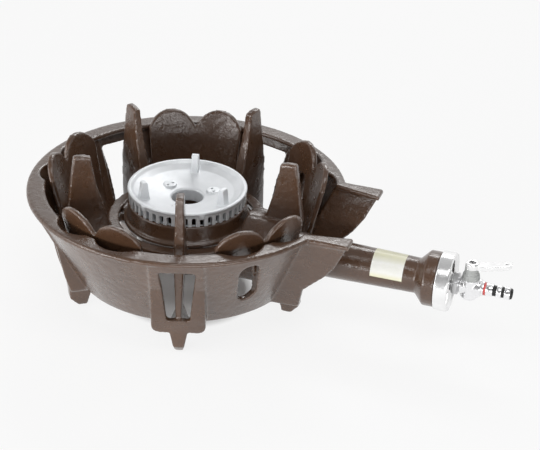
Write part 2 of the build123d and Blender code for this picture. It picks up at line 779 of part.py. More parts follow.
def make_burner_cap():
    """Dished lift-off cap with flame slots round its edge and an open middle."""
    with BuildPart() as cap:
        with BuildSketch(radial_plane(90)):
            outline([
                (CAP_HOLE_R, CAP_SLEEVE_FOOT_Z),
                (CAP_SLEEVE_R, CAP_SLEEVE_FOOT_Z),
                (CAP_SLEEVE_R, CAP_DISH_Z - CAP_WALL),
                (CAP_DISH_R, CAP_DISH_EDGE_Z - CAP_WALL),
                (SPIGOT_R - 2.5, CAP_TOP_Z - 6),
                (SPIGOT_R - 2.5, BODY_TOP_Z - 4),
                (SPIGOT_R, BODY_TOP_Z - 4),
                (SPIGOT_R, BODY_TOP_Z),
                (CAP_EDGE_R - 1.2, BODY_TOP_Z),
                (CAP_EDGE_R - 1.2, CAP_TOP_Z - 3),
                (CAP_EDGE_R, CAP_TOP_Z - 2),
                (CAP_EDGE_R, CAP_TOP_Z - 0.8),
                (CAP_EDGE_R - 0.8, CAP_TOP_Z),
                (CAP_EDGE_R - 3.2, CAP_TOP_Z),
                (CAP_EDGE_R - 6, CAP_TOP_Z - 2.5),
                (CAP_DISH_R, CAP_DISH_EDGE_Z),
                (CAP_HOLE_R + 1.5, CAP_DISH_Z),
                (CAP_HOLE_R, CAP_DISH_Z - 1.5),
            ])
        revolve(axis=BURNER_AXIS)
        with BuildSketch(level(BODY_TOP_Z)):
            with PolarLocations((SPIGOT_R + CAP_EDGE_R) / 2, FLAME_SLOTS):
                Rectangle(CAP_EDGE_R - SPIGOT_R + 10, FLAME_SLOT_WIDE)
            Circle(SPIGOT_R - 4, mode=Mode.SUBTRACT)
        extrude(amount=FLAME_SLOT_HIGH, mode=Mode.SUBTRACT)
        for angle in CAP_LUG_ANGLES:
            with BuildSketch(radial_plane(angle)) as lug:
                outline([
                    (CAP_LUG_R - 5, CAP_DISH_EDGE_Z - 2.2),
                    (CAP_LUG_R + 5, CAP_DISH_EDGE_Z),
                    (CAP_LUG_R + 2.5, CAP_LUG_TOP_Z),
                    (CAP_LUG_R - 2.5, CAP_LUG_TOP_Z),
                ])
                fillet(lug.vertices().group_by(Axis.Z)[-1], 1.5)
            extrude(amount=CAP_LUG_HALF, both=True)
        with BuildSketch(level(CAP_DISH_Z)):
            for angle in CAP_BOSS_ANGLES:
                c, s = direction(angle)
                with Locations((CAP_BOSS_R * c, CAP_BOSS_R * s)):
                    Circle(6)
        extrude(amount=3.2)
        with BuildSketch(level(CAP_DISH_Z - CAP_WALL)):
            for angle in CAP_BOSS_ANGLES:
                for side in (-1, 1):
                    c, s = direction(angle + side * CAP_HOLE_SPREAD)
                    with Locations((CAP_BOSS_R * c, CAP_BOSS_R * s)):
                        Circle(1.3)
        extrude(amount=8, mode=Mode.SUBTRACT)
        for index in range(6):
            with BuildSketch(facing_plane(CAP_TAB_ANGLE + 60 * index, CAP_EDGE_R - 2)):
                with Locations((0, CAP_TOP_Z - 4)):
                    Rectangle(4.5, 5)
            extrude(amount=2.4)
    save(cap, "burner_cap")


# ---------------------------------------------------------------- damper, cock and hose end

def make_air_damper():
    """Turning dish in front of the tube's mouth: its face has the same two openings."""
    back, front = DAMPER_L
    face = back + 8.0
    port_inner, port_outer = AIR_PORT_R
    with BuildPart() as damper:
        with BuildSketch(along_tube()):
            outline([
                (face, port_outer),
                (face + 2, port_outer),
                (face + 2, DAMPER_HUB_R),
                (front - 1.5, DAMPER_HUB_R),
                (front - 1.5, STEM_R + FIT_GAP),
                (back, STEM_R + FIT_GAP),
                (back, DAMPER_HUB_R),
                (face, DAMPER_HUB_R),
            ])
        revolve(axis=TUBE_AXIS)
        with BuildSketch(across_tube(back)):
            for index in range(AIR_PORTS):
                middle = AIR_PORT_ANGLE + index * 360 / AIR_PORTS
                outline(fan_outline(middle, AIR_PORT_SPAN, 2 * port_outer))
            Circle(port_inner, mode=Mode.SUBTRACT)
        extrude(amount=front - back, mode=Mode.SUBTRACT)
    save(damper, "air_damper")
    with BuildPart() as collar:
        with BuildSketch(along_tube()):
            outline([
                (back, DAMPER_R - 2),
                (back, DAMPER_R - 0.5),
                (back + 0.5, DAMPER_R),
                (front - 1.2, DAMPER_R),
                (front, DAMPER_R - 1.2),
                (front, DAMPER_R - 2.2),
                (face + 2, DAMPER_R - 4.2),
                (face + 2, port_outer),
                (face, port_outer),
                (face, DAMPER_R - 2),
            ])
        revolve(axis=TUBE_AXIS)
    save(collar, "damper_collar")


def make_cock_body():
    """Brass body: stem through the damper, barrel along the tube and an upright plug housing."""
    with BuildPart() as body:
        with BuildSketch(along_tube()):
            outline([
                (STEM_L[0], 0),
                (STEM_L[0], STEM_R),
                (STEM_L[1], STEM_R),
                (STEM_L[1], 8),
                (STEM_L[1] + 1, BARREL_R),
                (NIPPLE_L[0] - 1, BARREL_R),
                (NIPPLE_L[0], BARREL_R - 1),
                (NIPPLE_L[0], 0),
            ])
        revolve(axis=TUBE_AXIS)
        with BuildSketch(cock_profile()):
            outline([
                (0, HOUSING_Z[0]),
                (6, HOUSING_Z[0]),
                (HOUSING_R, HOUSING_Z[0] + 3),
                (HOUSING_R, HOUSING_Z[1] - 2),
                (8.5, HOUSING_Z[1]),
                (0, HOUSING_Z[1]),
            ])
        revolve(axis=COCK_AXIS)
        with BuildSketch(along_tube()):
            outline([
                (STEM_L[0] - 1, 0),
                (STEM_L[0] - 1, GAS_R),
                (NIPPLE_L[0] + 1, GAS_R),
                (NIPPLE_L[0] + 1, 0),
            ])
        revolve(axis=TUBE_AXIS, mode=Mode.SUBTRACT)
        with BuildSketch(along_tube()):
            outline([
                (STEM_L[0] - 1, 0),
                (STEM_L[0] - 1, INJECTOR_R),
                (STEM_L[0] + INJECTOR_BITE, INJECTOR_R),
                (STEM_L[0] + INJECTOR_BITE, 0),
            ])
            outline([
                (NIPPLE_L[0] - NIPPLE_BITE, 0),
                (NIPPLE_L[0] - NIPPLE_BITE, NIPPLE_ROOT_R),
                (NIPPLE_L[0] + 1, NIPPLE_ROOT_R),
                (NIPPLE_L[0] + 1, 0),
            ])
        revolve(axis=TUBE_AXIS, mode=Mode.SUBTRACT)
        with BuildSketch(cock_profile()):
            outline([
                (0, PLUG_Z[0] - 3.5),
                (SPRING_R, PLUG_Z[0] - 3.5),
                (SPRING_R, PLUG_Z[0]),
                (PLUG_R[0] + FIT_GAP, PLUG_Z[0]),
                (PLUG_R[1] + FIT_GAP, PLUG_Z[1]),
                (PLUG_R[1] + FIT_GAP, HOUSING_Z[1] + 1),
                (0, HOUSING_Z[1] + 1),
            ])
        revolve(axis=COCK_AXIS, mode=Mode.SUBTRACT)
    save(body, "cock_body")


def make_cock_plug():
    """Tapered plug with its gas way, and the stem that the lever sits on."""
    with BuildPart() as plug:
        with BuildSketch(cock_profile()):
            outline([
                (0, PLUG_Z[0]),
                (PLUG_R[0], PLUG_Z[0]),
                (PLUG_R[1], PLUG_Z[1]),
                (PLUG_STEM_R, PLUG_Z[1]),
                (PLUG_STEM_R, HUB_Z[1] - 2.5),
                (0, HUB_Z[1] - 2.5),
            ])
        revolve(axis=COCK_AXIS)
        with BuildSketch(across_tube(COCK_L)):
            Circle(GAS_R)
        extrude(amount=2 * PLUG_R[1], both=True, mode=Mode.SUBTRACT)
        with BuildSketch(level(TUBE_Z + HUB_Z[1] - 2.5)):
            with Locations((0, -COCK_L)):
                Circle(SCREW_R)
        extrude(amount=-SCREW_BITE, mode=Mode.SUBTRACT)
    save(plug, "cock_plug")


def make_plug_spring():
    """Sprung washer in the housing's foot, which keeps the plug seated."""
    low = PLUG_Z[0] - 3.5
    with BuildPart() as spring:
        with BuildSketch(cock_profile()):
            outline([
                (2.2, low + 1.2),
                (SPRING_R - 0.2, low),
                (SPRING_R - 0.2, low + 0.8),
                (2.2, low + 2.0),
            ])
        revolve(axis=COCK_AXIS)
    save(spring, "plug_spring_washer")


def make_bonnet():
    """Packing nut over the plug, stepped and slightly tapered."""
    with BuildPart() as bonnet:
        with BuildSketch(cock_profile()):
            outline([
                (PLUG_STEM_R + FIT_GAP, BONNET_Z[0]),
                (8.2, BONNET_Z[0]),
                (7.6, BONNET_STEP_Z - 0.6),
                (7.0, BONNET_STEP_Z),
                (6.5, BONNET_STEP_Z + 0.4),
                (6.3, BONNET_Z[1]),
                (5.0, BONNET_Z[1]),
                (5.0, BONNET_Z[1] - RING_HIGH),
                (PLUG_STEM_R + FIT_GAP, BONNET_Z[1] - RING_HIGH),
            ])
        revolve(axis=COCK_AXIS)
    save(bonnet, "packing_nut")


def make_stem_seal():
    """Rubber ring round the plug's stem, sunk in the packing nut."""
    with BuildPart() as seal:
        with BuildSketch(cock_profile()):
            outline([
                (PLUG_STEM_R + FIT_GAP, BONNET_Z[1] - RING_HIGH),
                (5.0, BONNET_Z[1] - RING_HIGH),
                (5.0, BONNET_Z[1] - 0.3),
                (PLUG_STEM_R + FIT_GAP, BONNET_Z[1] - 0.3),
            ])
        revolve(axis=COCK_AXIS)
    save(seal, "stem_seal")


def make_cock_lever():
    """Hub and rising handle; it lies in line with the hose end when the cock is open."""
    with BuildPart() as lever:
        with BuildSketch(cock_profile()):
            outline([
                (PLUG_STEM_R, HUB_Z[0]),
                (6.2, HUB_Z[0]),
                (6.2, HUB_Z[1] - 1),
                (5.2, HUB_Z[1]),
                (SCREW_HEAD_R + 0.1, HUB_Z[1]),
                (SCREW_HEAD_R + 0.1, HUB_Z[1] - 2.5),
                (PLUG_STEM_R, HUB_Z[1] - 2.5),
            ])
        revolve(axis=COCK_AXIS)
        with BuildSketch(along_tube()):
            outline([
                (COCK_L + 5.5, HUB_Z[0] + 0.5),
                (COCK_L + 14, HUB_Z[0] + 2.0),
                (LEVER_TIP_L, LEVER_TIP_Z - 4.2),
                (LEVER_TIP_L, LEVER_TIP_Z),
                (COCK_L + 13, HUB_Z[1] - 0.2),
                (COCK_L + 5.5, HUB_Z[1] - 1.2),
            ])
        extrude(amount=LEVER_HALF, both=True)
        with BuildSketch(Plane(origin=(0, BURNER_Y, 0), x_dir=(0, -1, 0), z_dir=(0, 0, 1))):
            with Locations((COCK_L, 0)):
                Circle(6.2)
            with Locations(((COCK_L + LEVER_TIP_L) / 2, 0)):
                RectangleRounded(LEVER_TIP_L - COCK_L, 2 * LEVER_HALF, LEVER_HALF - 1.5)
        extrude(amount=POT_Z, mode=Mode.INTERSECT)
        with BuildSketch(Plane(origin=(0, BURNER_Y, 0), x_dir=(0, -1, 0), z_dir=(0, 0, 1))):
            with Locations((LEVER_TIP_L - 4.5, 0)):
                Circle(1.4)
        extrude(amount=POT_Z, mode=Mode.SUBTRACT)
    save(lever, "cock_lever")


def make_lever_screw():
    """Slotted screw that holds the lever on the plug's stem."""
    head_z = HUB_Z[1] - 2.5
    with BuildPart() as screw:
        with BuildSketch(cock_profile()):
            outline([
                (0, head_z - SCREW_BITE),
                (SCREW_R, head_z - SCREW_BITE),
                (SCREW_R, head_z),
                (SCREW_HEAD_R, head_z),
                (SCREW_HEAD_R, head_z + 1.2),
                (SCREW_HEAD_R - 0.6, head_z + 1.8),
                (0, head_z + 1.8),
            ])
        revolve(axis=COCK_AXIS)
        with BuildSketch(level(TUBE_Z + head_z + 1.0)):
            with Locations(Location((0, -COCK_L), 35)):
                Rectangle(2 * SCREW_HEAD_R + 1, 0.9)
        extrude(amount=2, mode=Mode.SUBTRACT)
    save(screw, "lever_screw")


def make_injector():
    """Gas jet in the end of the cock's stem, inside the mixing tube."""
    with BuildPart() as injector:
        with BuildSketch(along_tube()):
            outline([
                (STEM_L[0] - 8, 0.6),
                (STEM_L[0] - 8, 2.2),
                (STEM_L[0] - 4, 4.2),
                (STEM_L[0], 4.2),
                (STEM_L[0], INJECTOR_R),
                (STEM_L[0] + INJECTOR_BITE, INJECTOR_R),
                (STEM_L[0] + INJECTOR_BITE, 1.8),
                (STEM_L[0] - 5, 1.8),
                (STEM_L[0] - 7, 0.6),
            ])
        revolve(axis=TUBE_AXIS)
    save(injector, "injector")


def make_lock_nut():
    """Hexagon nut on the stem, in front of the damper."""
    with BuildPart() as nut:
        with BuildSketch(across_tube(NUT_L[0])):
            RegularPolygon(NUT_FLAT / 2, 6, major_radius=False, rotation=30)
            Circle(STEM_R, mode=Mode.SUBTRACT)
        extrude(amount=NUT_L[1] - NUT_L[0])
        with BuildSketch(along_tube()):
            outline([
                (NUT_L[0], 0),
                (NUT_L[0], NUT_FLAT / 2),
                (NUT_L[0] + 1, NUT_FLAT / 2 + 1.2),
                (NUT_L[1] - 1, NUT_FLAT / 2 + 1.2),
                (NUT_L[1], NUT_FLAT / 2),
                (NUT_L[1], 0),
            ])
        revolve(axis=TUBE_AXIS, mode=Mode.INTERSECT)
    save(nut, "lock_nut")


def make_damper_spring():
    """Cupped washer between the damper's hub and the lock nut."""
    hub_face = DAMPER_L[1] - 1.5
    with BuildPart() as spring:
        with BuildSketch(along_tube()):
            outline([
                (hub_face + 0.3, STEM_R),
                (hub_face + 0.3, STEM_R + 1.0),
                (NUT_L[0] - 0.8, NUT_FLAT / 2 - 1.5),
                (NUT_L[0], NUT_FLAT / 2 - 1.5),
                (NUT_L[0], STEM_R),
            ])
        revolve(axis=TUBE_AXIS)
    save(spring, "damper_spring_washer")


def make_hose_nipple():
    """Ribbed hose end for a 9.5 mm hose, screwed into the cock."""
    root, tip = NIPPLE_L
    with BuildPart() as nipple:
        with BuildSketch(along_tube()):
            outline([
                (root - NIPPLE_BITE, GAS_R),
                (root - NIPPLE_BITE, NIPPLE_ROOT_R),
                (root, NIPPLE_ROOT_R),
                (root, 7.0),
                (root + 2.0, 7.0),
                (root + 2.0, MARK_R[0]),
                (root + 4.0, MARK_R[0]),
                (root + 4.0, NIPPLE_R),
                (root + 10.0, NIPPLE_R),
                (root + 10.6, NIPPLE_R - 1.1),
                (root + 13.4, NIPPLE_R - 1.1),
                (root + 14.0, NIPPLE_R),
                (root + 18.0, NIPPLE_R),
                (root + 18.6, NIPPLE_R - 1.1),
                (root + 20.6, NIPPLE_R - 1.1),
                (root + 21.2, NIPPLE_R),
                (tip - 3.0, NIPPLE_R),
                (tip, NIPPLE_R - 1.6),
                (tip, GAS_R),
            ])
        revolve(axis=TUBE_AXIS)
    save(nipple, "hose_nipple")


def make_depth_mark():
    """Red band in a groove at the nipple's root: how far the hose is pushed on."""
    root = NIPPLE_L[0]
    with BuildPart() as mark:
        with BuildSketch(along_tube()):
            outline([
                (root + 2.0, MARK_R[0]),
                (root + 2.0, MARK_R[1]),
                (root + 4.0, MARK_R[1]),
                (root + 4.0, MARK_R[0]),
            ])
        revolve(axis=TUBE_AXIS)
    save(mark, "hose_depth_mark")


def make_tube_label():
    """Blank sticker wrapped over the upper half of the mixing tube."""
    start, stop = LABEL_L
    with BuildPart() as label:
        with BuildSketch(Plane(origin=(0, BURNER_Y, TUBE_Z), x_dir=(0, -1, 0), z_dir=(0, 0, -1))):
            outline([
                (start, tube_r(start)),
                (start, tube_r(start) + LABEL_THICK),
                (stop, tube_r(stop) + LABEL_THICK),
                (stop, tube_r(stop)),
            ])
        revolve(axis=TUBE_AXIS, revolution_arc=-LABEL_ARC)
    save(label, "tube_label")


if __name__ == "__main__":
    make_rim()
    make_skirt_sectors()
    make_spout_walls()
    make_window_panels()
    make_wind_guards()
    make_claws()
    make_front_claw()
    make_front_foot()
    make_seat_ring()
    make_burner_body()
    make_burner_sleeve()
    make_mixing_tube()
    make_burner_bolts()
    make_burner_cap()
    make_air_damper()
    make_cock_body()
    make_cock_plug()
    make_plug_spring()
    make_bonnet()
    make_stem_seal()
    make_cock_lever()
    make_lever_screw()
    make_injector()
    make_lock_nut()
    make_damper_spring()
    make_hose_nipple()
    make_depth_mark()
    make_tube_label()
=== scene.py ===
import bpy
import numpy as np
from math import cos, radians, sin
from mathutils import Matrix, Vector, noise


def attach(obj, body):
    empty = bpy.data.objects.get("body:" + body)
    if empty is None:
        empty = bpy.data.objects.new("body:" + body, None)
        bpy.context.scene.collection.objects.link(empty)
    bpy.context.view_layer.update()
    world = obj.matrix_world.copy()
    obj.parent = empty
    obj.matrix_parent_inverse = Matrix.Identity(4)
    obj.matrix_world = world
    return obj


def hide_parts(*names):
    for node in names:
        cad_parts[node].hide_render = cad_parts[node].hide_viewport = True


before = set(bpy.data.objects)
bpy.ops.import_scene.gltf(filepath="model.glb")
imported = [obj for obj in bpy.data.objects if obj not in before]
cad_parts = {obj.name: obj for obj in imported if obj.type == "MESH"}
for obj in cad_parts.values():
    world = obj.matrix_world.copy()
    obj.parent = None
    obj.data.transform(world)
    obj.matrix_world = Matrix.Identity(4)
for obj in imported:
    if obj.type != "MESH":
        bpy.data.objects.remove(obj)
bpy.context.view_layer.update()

MM = 0.001

# The frame: the floor at z = 0, the burner's upright axis at x = 0, y = BURNER_Y, and the mixing
# tube's axis along -Y at z = TUBE_Z.
BURNER_Y = 82.5 * MM
TUBE_Z = 67.0 * MM

# The photograph's width in pixels, and the camera fitted to the stove's rim, feet and tube in it.
PHOTO_WIDE = 540
FOCAL_PX = 1500.0
SENSOR_MM = 36.0
CAMERA_AT = Vector((-1.1637, -0.3787, 0.7746))
CAMERA_AZIMUTH = radians(-72.0)
CAMERA_ELEVATION = 0.5107
CAMERA_ROLL = 0.0372
CAMERA_SEES_TO = 50.0

# Nodes of the two castings that the render shows in one piece each
STAND_NODES = [
    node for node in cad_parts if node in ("rim", "seat_ring", "foot_front")
    or node.startswith(("skirt_", "spout_wall_", "window_panel_", "wind_guard_", "claw_"))]
BURNER_NODES = [
    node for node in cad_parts
    if node in ("burner_body", "burner_sleeve", "mixing_tube", "tube_mouth")]


# ---------------------------------------------------------------- node helpers

def new_material(name):
    """A material whose tree has a Principled shader and its output, and nothing else."""
    material = bpy.data.materials.new(name)
    material.use_nodes = True
    tree = material.node_tree
    tree.nodes.clear()
    output = tree.nodes.new("ShaderNodeOutputMaterial")
    shader = tree.nodes.new("ShaderNodeBsdfPrincipled")
    tree.links.new(shader.outputs["BSDF"], output.inputs["Surface"])
    return material, tree, shader


def noise_at(tree, scale, detail=3.0, roughness=0.5):
    """Noise in object space; scale is in cells per metre."""
    coordinates = tree.nodes.new("ShaderNodeTexCoord")
    texture = tree.nodes.new("ShaderNodeTexNoise")
    texture.inputs["Scale"].default_value = scale
    texture.inputs["Detail"].default_value = detail
    texture.inputs["Roughness"].default_value = roughness
    tree.links.new(coordinates.outputs["Object"], texture.inputs["Vector"])
    return texture.outputs["Fac"]


def spread(tree, value, low, high, from_low=0.3, from_high=0.7):
    """Maps a socket from one range to another; a noise mostly lies between 0.3 and 0.7."""
    node = tree.nodes.new("ShaderNodeMapRange")
    node.inputs["From Min"].default_value = from_low
    node.inputs["From Max"].default_value = from_high
    node.inputs["To Min"].default_value = low
    node.inputs["To Max"].default_value = high
    tree.links.new(value, node.inputs["Value"])
    return node.outputs["Result"]


def combine(tree, operation, first, second):
    """A Math node over two sockets."""
    node = tree.nodes.new("ShaderNodeMath")
    node.operation = operation
    tree.links.new(first, node.inputs[0])
    tree.links.new(second, node.inputs[1])
    return node.outputs[0]


def against_vector(tree, operation, vector, fixed):
    """A Vector Math node over a socket and a fixed vector."""
    node = tree.nodes.new("ShaderNodeVectorMath")
    node.operation = operation
    tree.links.new(vector, node.inputs[0])
    node.inputs[1].default_value = fixed
    return node


def blend_colours(tree, factor, first, second):
    """Mixes two colours, each a colour or a socket, by a factor socket."""
    mix = tree.nodes.new("ShaderNodeMix")
    mix.data_type = "RGBA"
    tree.links.new(factor, mix.inputs["Factor"])
    for name, colour in (("A", first), ("B", second)):
        socket = [s for s in mix.inputs if s.name == name and s.type == "RGBA"][0]
        if isinstance(colour, tuple):
            socket.default_value = (*colour, 1.0)
        else:
            tree.links.new(colour, socket)
    return [s for s in mix.outputs if s.type == "RGBA"][0]


def bump(tree, height, distance, onto=None):
    """A bump of that distance in metres, on top of another normal if one is given."""
    node = tree.nodes.new("ShaderNodeBump")
    node.inputs["Distance"].default_value = distance
    node.inputs["Strength"].default_value = 1.0
    tree.links.new(height, node.inputs["Height"])
    if onto is not None:
        tree.links.new(onto, node.inputs["Normal"])
    return node.outputs["Normal"]


# ---------------------------------------------------------------- materials

ENAMEL_DEEP = (0.070, 0.034, 0.018)
ENAMEL_WARM = (0.098, 0.050, 0.027)
ENAMEL_THIN_AND_HIGHLIGHT = (0.200, 0.125, 0.088)     # on sharp edges: partly thinner enamel where the coat runs off, partly a painted highlight
ENAMEL_SPECK = (0.040, 0.023, 0.014)
EDGE_THIN_AND_HIGHLIGHT_RANGE = (0.53, 0.62)               # Pointiness from flat to sharp, over which the thin enamel and painted highlight come in

LABEL_FILM = (0.83, 0.83, 0.80)
LABEL_BORDER = (0.80, 0.78, 0.55)
LABEL_STAIN = (0.74, 0.73, 0.62)
LABEL_LOWER = (0.5 * MM, 5.0 * MM)      # where the border fades, over the tube's axis
LABEL_UPPER = (13.0 * MM, 17.0 * MM)

RIB_BRIGHT = (0.92, 0.92, 0.93)
# painted shade: near-black colour in the hose end's grooves
GROOVE_PAINTED_SHADE = (0.04, 0.04, 0.04)
GROOVE_SHADE_R = (5.1 * MM, 5.6 * MM)         # the hose end's radius from its grooves to its ribs, over which the painted shade in the grooves fades out


def enamel(name, coarse):
    """Glossy brown enamel on rough cast iron; coarse is the height of the casting's grain."""
    material, tree, shader = new_material(name)
    cloudy = spread(tree, noise_at(tree, 14.0, 4.0), 0.0, 1.0, 0.35, 0.65)
    colour = blend_colours(tree, cloudy, ENAMEL_DEEP, ENAMEL_WARM)
    geometry = tree.nodes.new("ShaderNodeNewGeometry")
    # sharp edges turn lighter: partly thinner enamel, partly a painted highlight on them
    edge = spread(tree, geometry.outputs["Pointiness"], 0.0, 1.0, *EDGE_THIN_AND_HIGHLIGHT_RANGE)
    colour = blend_colours(tree, edge, colour, ENAMEL_THIN_AND_HIGHLIGHT)
    specks = spread(tree, noise_at(tree, 900.0, 2.0), 0.0, 1.0, 0.60, 0.75)
    colour = blend_colours(tree, specks, colour, ENAMEL_SPECK)
    tree.links.new(colour, shader.inputs["Base Color"])
    tree.links.new(spread(tree, noise_at(tree, 60.0), 0.24, 0.36), shader.inputs["Roughness"])
    shader.inputs["IOR"].default_value = 1.6
    shader.inputs["Coat Weight"].default_value = 0.5
    shader.inputs["Coat Roughness"].default_value = 0.10
    shader.inputs["Coat IOR"].default_value = 1.5
    normal = bump(tree, noise_at(tree, 170.0, 3.0), coarse)
    normal = bump(tree, noise_at(tree, 620.0, 3.0, 0.6), 0.35 * coarse, onto=normal)
    tree.links.new(normal, shader.inputs["Normal"])
    tree.links.new(normal, shader.inputs["Coat Normal"])
    return material


def plating(name, colour, roughness, grain, metallic):
    """Bright plating over a casting or a pressing."""
    material, tree, shader = new_material(name)
    patchy = spread(tree, noise_at(tree, 45.0, 4.0), 0.0, 1.0)
    duller = tuple(0.93 * c for c in colour)
    tree.links.new(blend_colours(tree, patchy, colour, duller), shader.inputs["Base Color"])
    uneven = spread(tree, noise_at(tree, 240.0), roughness, 1.5 * roughness)
    tree.links.new(uneven, shader.inputs["Roughness"])
    shader.inputs["Metallic"].default_value = metallic
    tree.links.new(bump(tree, noise_at(tree, 500.0, 3.0), grain), shader.inputs["Normal"])
    return material


def plain(name, colour, second, roughness, metallic, grain, scale=400.0):
    """A finish that varies a little between two colours, with a fine grain."""
    material, tree, shader = new_material(name)
    patchy = spread(tree, noise_at(tree, 0.3 * scale, 4.0), 0.0, 1.0)
    tree.links.new(blend_colours(tree, patchy, colour, second), shader.inputs["Base Color"])
    uneven = spread(tree, noise_at(tree, scale), roughness, 1.3 * roughness)
    tree.links.new(uneven, shader.inputs["Roughness"])
    shader.inputs["Metallic"].default_value = metallic
    tree.links.new(bump(tree, noise_at(tree, scale, 3.0), grain), shader.inputs["Normal"])
    return material


def label_film():
    """Blank pale film, with a faint yellow border towards its long edges."""
    material, tree, shader = new_material("label_film")
    coordinates = tree.nodes.new("ShaderNodeTexCoord")
    split = tree.nodes.new("ShaderNodeSeparateXYZ")
    tree.links.new(coordinates.outputs["Object"], split.inputs["Vector"])
    height = split.outputs["Z"]
    lower = spread(tree, height, 1.0, 0.0, *(TUBE_Z + rise for rise in LABEL_LOWER))
    upper = spread(tree, height, 0.0, 1.0, *(TUBE_Z + rise for rise in LABEL_UPPER))
    border = combine(tree, "MAXIMUM", lower, upper)
    colour = blend_colours(tree, border, LABEL_FILM, LABEL_BORDER)
    patchy = spread(tree, noise_at(tree, 180.0), 0.0, 0.35)
    colour = blend_colours(tree, patchy, colour, LABEL_STAIN)
    tree.links.new(colour, shader.inputs["Base Color"])
    shader.inputs["Roughness"].default_value = 0.32
    tree.links.new(bump(tree, noise_at(tree, 220.0, 2.0), 0.05 * MM), shader.inputs["Normal"])
    return material


def plating_with_groove_shade():
    """Plating with a painted shade that makes the grooves between the hose end's ribs dark."""
    material, tree, shader = new_material("nipple_plating")
    coordinates = tree.nodes.new("ShaderNodeTexCoord")
    flat = against_vector(tree, "MULTIPLY", coordinates.outputs["Object"], (1.0, 0.0, 1.0))
    radius = against_vector(tree, "DISTANCE", flat.outputs["Vector"], (0.0, 0.0, TUBE_Z))
    # painted shade: the grooves darken by their radius from the tube's axis
    groove_shade = spread(tree, radius.outputs["Value"], 1.0, 0.0, *GROOVE_SHADE_R)
    colour = blend_colours(tree, groove_shade, RIB_BRIGHT, GROOVE_PAINTED_SHADE)
    tree.links.new(colour, shader.inputs["Base Color"])
    tree.links.new(spread(tree, groove_shade, 0.16, 0.5, 0.0, 1.0), shader.inputs["Roughness"])
    shader.inputs["Metallic"].default_value = 0.85
    tree.links.new(bump(tree, noise_at(tree, 500.0, 3.0), 0.02 * MM), shader.inputs["Normal"])
    return material


def dress(piece, material):
    """Gives a piece or a CAD node one material all over."""
    piece.data.materials.clear()
    piece.data.materials.append(material)
    for polygon in piece.data.polygons:
        polygon.material_index = 0


# ---------------------------------------------------------------- shapes

CAST_WELD = 0.005 * MM
EDGE_WELD = 0.004 * MM
EDGE_ANGLE = radians(35.0)
GRAIN_SCALE = 150.0                     # the larger lumps of a casting, in cells per metre


def joined_copy(name, nodes):
    """One mesh object that holds a copy of each CAD node's mesh."""
    points, faces = [], []
    for node in nodes:
        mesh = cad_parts[node].data
        start = len(points)
        points.extend(v.co.copy() for v in mesh.vertices)
        faces.extend([start + i for i in p.vertices] for p in mesh.polygons)
    mesh = bpy.data.meshes.new(name)
    mesh.from_pydata(points, [], faces)
    mesh.validate()
    piece = bpy.data.objects.new(name, mesh)
    bpy.context.scene.collection.objects.link(piece)
    return piece


def applied(piece):
    """Applies a piece's modifiers to its mesh."""
    graph = bpy.context.evaluated_depsgraph_get()
    graph.update()
    mesh = bpy.data.meshes.new_from_object(piece.evaluated_get(graph))
    piece.modifiers.clear()
    old = piece.data
    piece.data = mesh
    bpy.data.meshes.remove(old)
    mesh.name = piece.name


def roughen(piece, height):
    """Small uneven swells of a sand casting, in the mesh itself."""
    mesh = piece.data
    count = len(mesh.vertices)
    places = np.empty(3 * count)
    normals = np.empty(3 * count)
    mesh.vertices.foreach_get("co", places)
    mesh.vertex_normals.foreach_get("vector", normals)
    places = places.reshape(-1, 3)
    lumps = [noise.noise(GRAIN_SCALE * Vector(p)) + 0.5 * noise.noise(2.3 * GRAIN_SCALE * Vector(p))
             for p in places]
    places += normals.reshape(-1, 3) * height * np.array(lumps)[:, None]
    mesh.vertices.foreach_set("co", places.ravel())
    mesh.update()


def cast_copy(name, nodes, voxel, rounds, most_triangles, swell=0.2 * MM, grain=0.0):
    """The nodes fused into one casting, its edges and corners softened by rounds of smoothing.

    The swell makes up for what the smoothing takes off, and the grain is the lumps' height.
    """
    piece = joined_copy(name, nodes)
    weld = piece.modifiers.new("weld", "WELD")
    weld.merge_threshold = CAST_WELD
    fatten = piece.modifiers.new("fatten", "DISPLACE")
    fatten.mid_level = 0.0
    fatten.strength = swell
    remesh = piece.modifiers.new("remesh", "REMESH")
    remesh.mode = "VOXEL"
    remesh.voxel_size = voxel
    soften = piece.modifiers.new("soften", "SMOOTH")
    soften.factor = 0.5
    soften.iterations = rounds
    applied(piece)
    if grain:
        roughen(piece, grain)
    triangles = sum(len(p.vertices) - 2 for p in piece.data.polygons)
    if triangles > most_triangles:
        fewer = piece.modifiers.new("fewer", "DECIMATE")
        fewer.ratio = most_triangles / triangles
        applied(piece)
    piece.data.shade_smooth()
    return piece


def soft_edges(node, width):
    """Rounds a CAD node's sharp edges in the render, without touching its mesh."""
    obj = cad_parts[node]
    weld = obj.modifiers.new("weld", "WELD")
    weld.merge_threshold = EDGE_WELD
    bevel = obj.modifiers.new("bevel", "BEVEL")
    bevel.width = width
    bevel.segments = 2
    bevel.limit_method = "ANGLE"
    bevel.angle_limit = EDGE_ANGLE
    bevel.harden_normals = True
    obj.data.shade_smooth()


# ---------------------------------------------------------------- studio

FLOOR_HALF = 6.0
FLOOR_PAINT = (0.86, 0.86, 0.86, 1.0)
FLOOR_GLOW = 0.85                       # share of the floor's white that no shadow dims
GLOW_FROM = (56.0 * MM, 72.0 * MM)      # nearer to the burner's axis the floor has no glow

WORLD_FILL = 0.22                       # the even light that the surroundings cast
CEILING_DIM = 0.35                      # what gloss mirrors overhead, against white at eye level
CEILING_FROM = (0.45, 0.75)             # upward part of the direction, from white to dim
ROOM_DIM = 0.16                         # what it mirrors of the room on the photograph's near side
ROOM_FROM = (-0.45, 0.25)               # part of the direction along BACKDROP, from dim to white
BACKDROP = (-sin(CAMERA_AZIMUTH), cos(CAMERA_AZIMUTH), 0.0)     # the white backdrop's side

LAMPS_FACE = Vector((0.0, 0.0, 0.08))
